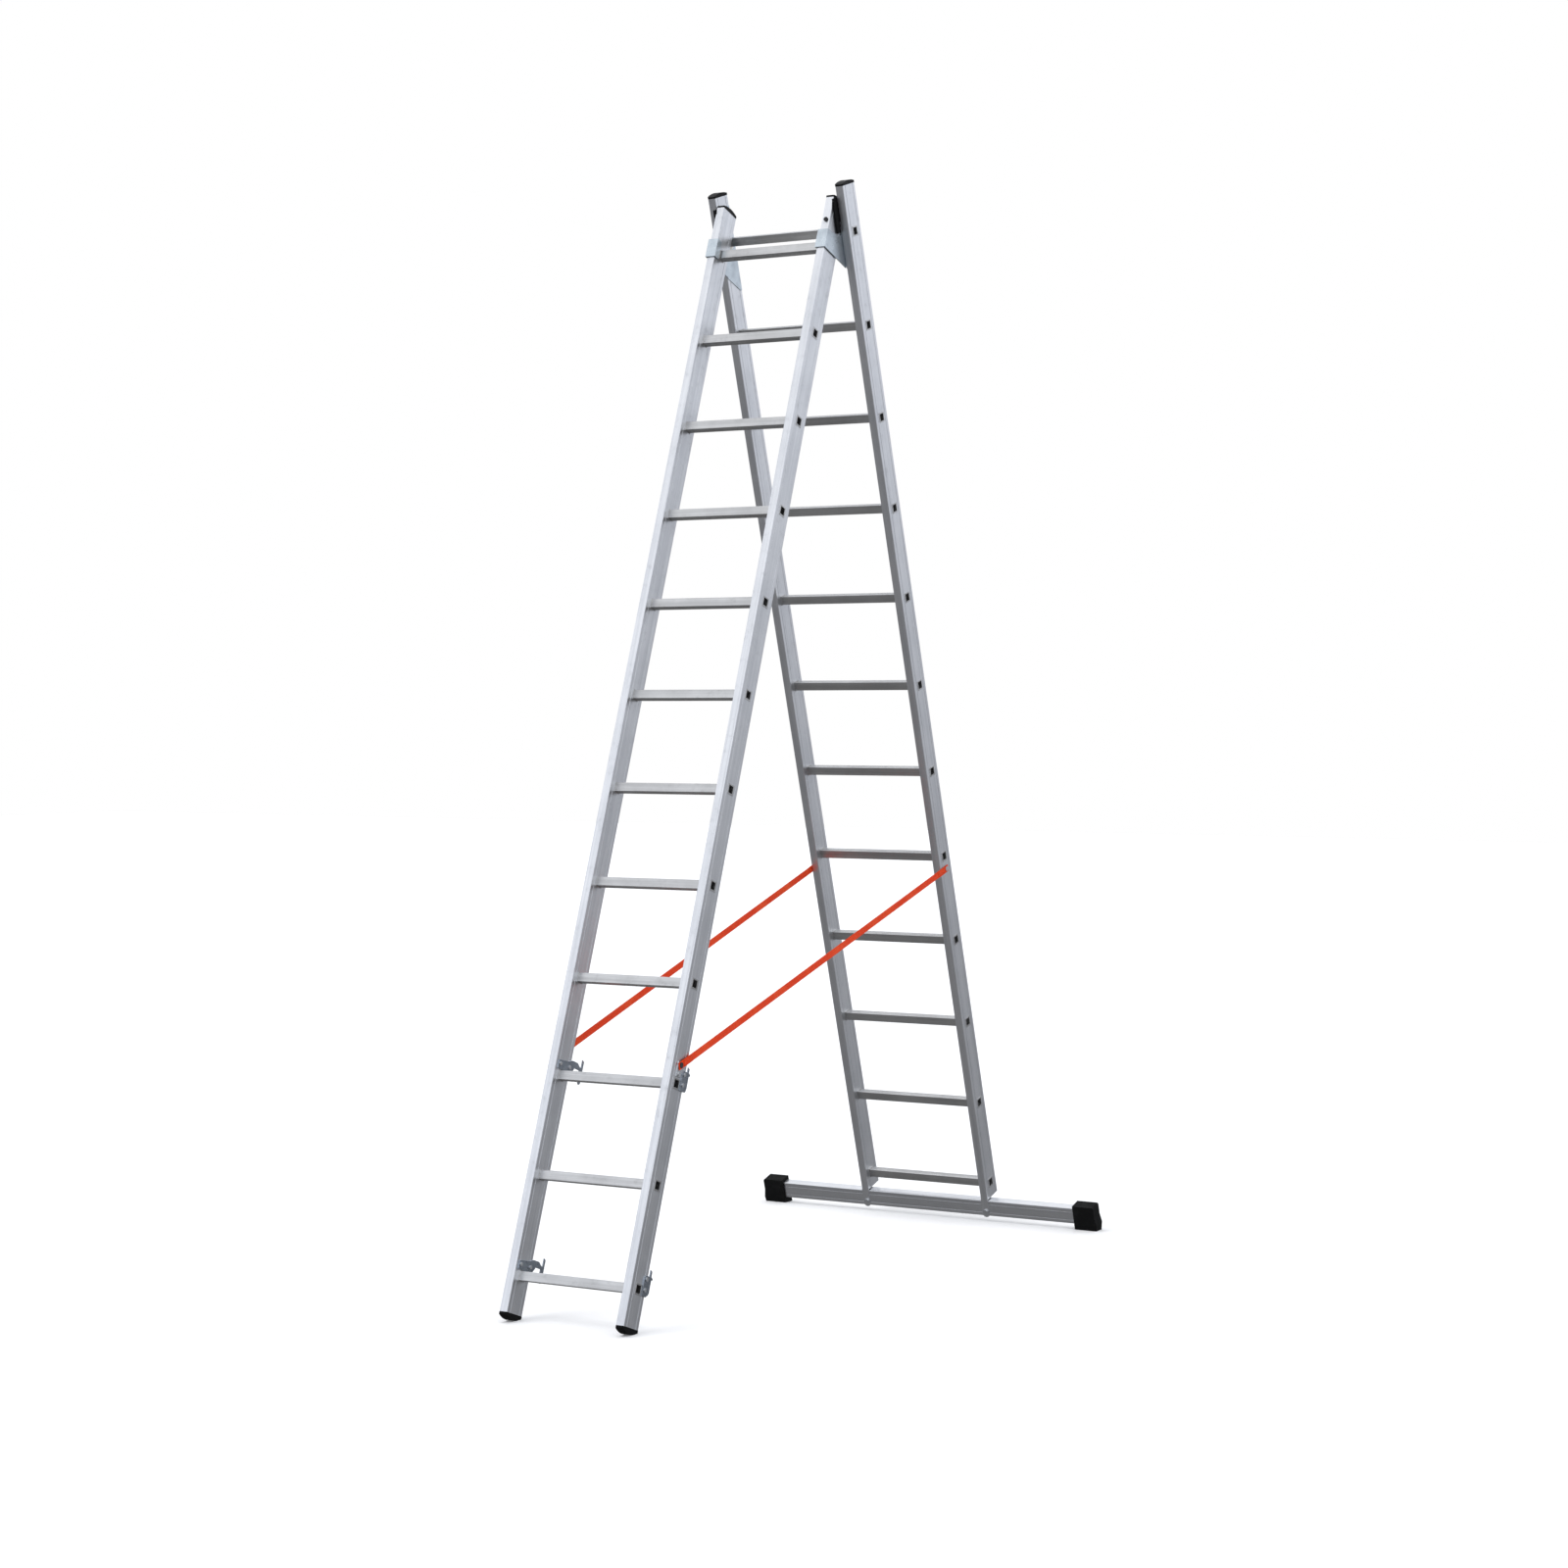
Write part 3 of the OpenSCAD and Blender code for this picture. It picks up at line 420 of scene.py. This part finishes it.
def strap_axes(node):
    """Middle, axes and sizes of the plain strap solid: along it, across it and outwards."""
    points = np.array([v.co for v in NODES[node].data.vertices])
    centre = points.mean(0)
    axes = np.linalg.svd(points - centre, full_matrices=False)[2]
    reach = (points - centre) @ axes.T
    middle = Vector(centre + axes.T @ ((reach.max(0) + reach.min(0)) / 2))
    run_axis, across_axis, _ = [Vector(axis) for axis in axes]
    if run_axis.y < 0:
        run_axis = -run_axis
    out_axis = run_axis.cross(across_axis)
    if out_axis.x * middle.x < 0:
        out_axis = -out_axis
    across_axis = out_axis.cross(run_axis)
    return middle, (run_axis, across_axis, out_axis), reach.max(0) - reach.min(0)


def webbing_outline(width, thickness):
    """Half-round selvedges, a thin dip beside each, and a slightly crowned face: (across, out)."""
    half, out = width / 2, thickness / 2
    inner = half - SELVEDGE
    upper = []
    for share in FACE_POINTS:
        level = DIP_THICKNESS if abs(share) == 1.0 else 1 - CROWN * share**2
        upper.append((inner * share, out * level))
    right = []
    for degrees in range(90, -91, -30):
        angle = math.radians(degrees)
        right.append((half - out + out * math.cos(angle), out * math.sin(angle)))
    lower = [(x, -w) for x, w in reversed(upper)]
    left = [(-x, -w) for x, w in right]
    return upper + right + lower + left


def add_band(mesh, outline, runs, lift, uv_layer):
    """Sweeps the outline along the strap. runs are distances along it, and lift raises a layer."""
    across = [0.0]
    for (x0, w0), (x1, w1) in zip(outline, outline[1:] + outline[:1]):
        across.append(across[-1] + math.hypot(x1 - x0, w1 - w0))
    rings = []
    for run in runs:
        rings.append([mesh.verts.new((run, x, w + lift(run))) for x, w in outline])
    count = len(outline)
    for i in range(len(rings) - 1):
        for j in range(count):
            k = (j + 1) % count
            face = mesh.faces.new((rings[i][j], rings[i + 1][j], rings[i + 1][k], rings[i][k]))
            face.smooth = True
            spots = ((runs[i], j), (runs[i + 1], j), (runs[i + 1], j + 1), (runs[i], j + 1))
            for loop, (run, place) in zip(face.loops, spots):
                loop[uv_layer].uv = (run, across[place])
    for ring in (rings[0], list(reversed(rings[-1]))):
        cap = mesh.faces.new(ring)
        for loop in cap.loops:
            loop[uv_layer].uv = (loop.vert.co.x + loop.vert.co.z, loop.vert.co.y)


def add_stitch(mesh, start, direction, height):
    """One short thread, half sunk in the webbing."""
    side = Vector((-direction.y, direction.x, 0))
    up = Vector((0, 0, 1))
    rings = []
    for along, size, sink in STITCH_PROFILE:
        level = height - sink * STITCH_RADIUS
        middle = start + direction * (along * STITCH_LENGTH) + up * level
        ring = []
        for step in range(STITCH_SIDES):
            angle = step * 2 * math.pi / STITCH_SIDES
            spoke = side * math.cos(angle) + up * math.sin(angle)
            ring.append(mesh.verts.new(middle + spoke * STITCH_RADIUS * size))
        rings.append(ring)
    for lower, upper in zip(rings, rings[1:]):
        for j in range(STITCH_SIDES):
            k = (j + 1) % STITCH_SIDES
            face = mesh.faces.new((lower[j], upper[j], upper[k], lower[k]))
            face.smooth = True
            face.material_index = THREAD_SLOT
    for ring in (rings[0], list(reversed(rings[-1]))):
        mesh.faces.new(ring).material_index = THREAD_SLOT


def add_seam(mesh, corners, height):
    """Stitches along the straight lines from each corner to the next."""
    for start, end in zip(corners, corners[1:]):
        start, end = Vector((*start, 0)), Vector((*end, 0))
        direction = (end - start).normalized()
        count = max(1, int((end - start).length / STITCH_PITCH))
        pitch = (end - start).length / count
        margin = (pitch - STITCH_LENGTH) / 2
        for i in range(count):
            add_stitch(mesh, start + direction * (i * pitch + margin), direction, height)


def add_hem(mesh, end, size, uv_layer):
    """The folded-back layer at one end, 1 for the rear and -1 for the front, sewn with a box."""
    length, width, thickness = size
    first = length / 2 - STRAP_END_GAP - HEM_START

    def layer(run):
        """The folded layer dips to the lower one where its cut end is sewn down."""
        share = (first - abs(run)) / HEM_LENGTH
        dip = max(0.0, share - HEM_DIP_START) / (1 - HEM_DIP_START)
        return thickness * (HEM_LIFT - HEM_DIP * dip)

    runs = sorted(end * (first - HEM_LENGTH * i / HEM_STEPS) for i in range(HEM_STEPS + 1))
    narrow = webbing_outline(width - HEM_MARGIN, thickness * HEM_THICKNESS)
    add_band(mesh, narrow, runs, layer, uv_layer)

    top = thickness * (HEM_LIFT + HEM_THICKNESS / 2)
    near, far = sorted((end * (first - STITCH_INSET), end * (first - HEM_LENGTH + CUT_END_INSET)))
    rim = width / 2 - STITCH_INSET
    box = [(near, -rim), (far, -rim), (far, rim), (near, rim), (near, -rim)]
    add_seam(mesh, box, top)
    add_seam(mesh, [(near, -rim), (far, rim)], top)
    add_seam(mesh, [(near, rim), (far, -rim)], top)


def build_strap(side):
    """Woven webbing from the rear rivet to the front stud, with a folded and sewn hem at each end."""
    middle, axes, size = strap_axes("strap_" + side)
    length, width, thickness = size
    half = length / 2
    mesh = bmesh.new()
    uv_layer = mesh.loops.layers.uv.new("metres")
    count = round(length / MESH_STEP)
    runs = [-half + length * i / count for i in range(count + 1)]
    add_band(mesh, webbing_outline(width, thickness), runs, lambda run: 0.0, uv_layer)
    for end in (-1, 1):
        add_hem(mesh, end, size, uv_layer)
    data = bpy.data.meshes.new("webbing_" + side)
    mesh.normal_update()
    mesh.to_mesh(data)
    mesh.free()
    data.transform(Matrix.Translation(middle) @ Matrix(axes).transposed().to_4x4())
    data.materials.append(MATERIALS["webbing"])
    data.materials.append(MATERIALS["thread"])
    strap = bpy.data.objects.new("webbing_strap_" + side, data)
    bpy.context.scene.collection.objects.link(strap)
    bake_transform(strap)
    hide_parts("strap_" + side)


for side in ("left", "right"):
    build_strap(side)


# Floor, light and camera -----------------------------------------------------------------------

FLOOR_SIZE = 60
FLOOR_GLOW = 0.10
SUN_ENERGY = 0.75
SUN_WIDTH = math.radians(35)
SUN_DIRECTION = (0.45, 0.5, -1.0)
CAMERA_PLACE = (4.532, -7.753, 1.647)
CAMERA_DIP = 1.35  # degrees below level
CAMERA_TURN = 29.98  # degrees to the left of +Y
CAMERA_LENS = 69.5  # in millimetres, as is the sensor
SENSOR_WIDTH = 36.0

# Brightness of the surroundings by how high a ray points, from straight down to straight up
SURROUNDINGS = [
    (-1.0, (0.15, 0.15, 0.155)),
    (-0.55, (0.20, 0.20, 0.205)),
    (-0.25, (0.20, 0.20, 0.205)),
    (-0.08, (0.26, 0.265, 0.28)),
    (0.06, (0.66, 0.68, 0.73)),
    (0.20, (1.02, 1.06, 1.15)),
    (0.45, (1.10, 1.13, 1.20)),
    (1.0, (1.0, 1.0, 1.0)),
]


def add_floor():
    """A pale floor. It gives off a little light of its own, so that it stays white far away."""
    bpy.ops.mesh.primitive_plane_add(size=FLOOR_SIZE, location=(0, 0, 0))
    floor = bpy.context.object
    floor.name = "floor"
    s = Shader("pale_floor")
    speckle = s.noise(s.coordinates(), scale=3.0, detail=3.0)
    base = s.mix(speckle, color(0.86, 0.86, 0.86), color(0.88, 0.88, 0.88))
    floor.data.materials.append(
        s.finish(
            Base_Color=base,
            Roughness=0.8,
            Specular_IOR_Level=0.1,
            Emission_Color=color(1.0, 1.0, 1.0),
            Emission_Strength=FLOOR_GLOW,
        )
    )
    floor.visible_glossy = False


def add_sun():
    """A broad, soft key light from the front left. The metal reflects the dome and not this."""
    light = bpy.data.lights.new("key", "SUN")
    light.energy = SUN_ENERGY
    light.angle = SUN_WIDTH
    holder = bpy.data.objects.new("key", light)
    holder.rotation_euler = Vector(SUN_DIRECTION).to_track_quat("-Z", "Y").to_euler()
    holder.visible_glossy = False
    bpy.context.scene.collection.objects.link(holder)


def add_world():
    """A soft white dome over a dark lower half, for the metal to reflect, seen as plain white."""
    world = bpy.data.worlds.new("studio")
    bpy.context.scene.world = world
    world.use_nodes = True
    tree = world.node_tree
    tree.nodes.clear()
    direction = tree.nodes.new("ShaderNodeTexCoord")
    split = tree.nodes.new("ShaderNodeSeparateXYZ")
    height = tree.nodes.new("ShaderNodeMapRange")
    ramp = tree.nodes.new("ShaderNodeValToRGB")
    dome = tree.nodes.new("ShaderNodeBackground")
    paper = tree.nodes.new("ShaderNodeBackground")
    rays = tree.nodes.new("ShaderNodeLightPath")
    chosen = tree.nodes.new("ShaderNodeMixShader")
    output = tree.nodes.new("ShaderNodeOutputWorld")
    height.inputs["From Min"].default_value = -1.0
    while len(ramp.color_ramp.elements) < len(SURROUNDINGS):
        ramp.color_ramp.elements.new(0.5)
    for element, (level, tint) in zip(ramp.color_ramp.elements, SURROUNDINGS):
        element.position = (level + 1) / 2
        element.color = color(*tint)
    paper.inputs["Color"].default_value = color(1.0, 1.0, 1.0)
    link = tree.links.new
    link(direction.outputs["Generated"], split.inputs[0])
    link(split.outputs["Z"], height.inputs["Value"])
    link(height.outputs[0], ramp.inputs["Fac"])
    link(ramp.outputs["Color"], dome.inputs["Color"])
    link(rays.outputs["Is Camera Ray"], chosen.inputs[0])
    link(dome.outputs[0], chosen.inputs[1])
    link(paper.outputs[0], chosen.inputs[2])
    link(chosen.outputs[0], output.inputs["Surface"])


def add_camera():
    """The camera that the object is seen from, with everything in focus."""
    data = bpy.data.cameras.new("camera")
    data.sensor_width = SENSOR_WIDTH
    data.lens = CAMERA_LENS
    data.clip_end = 100.0
    camera = bpy.data.objects.new("camera", data)
    camera.location = CAMERA_PLACE
    camera.rotation_euler = (math.radians(90 - CAMERA_DIP), 0, math.radians(CAMERA_TURN))
    bpy.context.scene.collection.objects.link(camera)
    bpy.context.scene.camera = camera


bpy.context.scene.view_settings.view_transform = "Standard"
add_world()
add_sun()
add_floor()
add_camera()
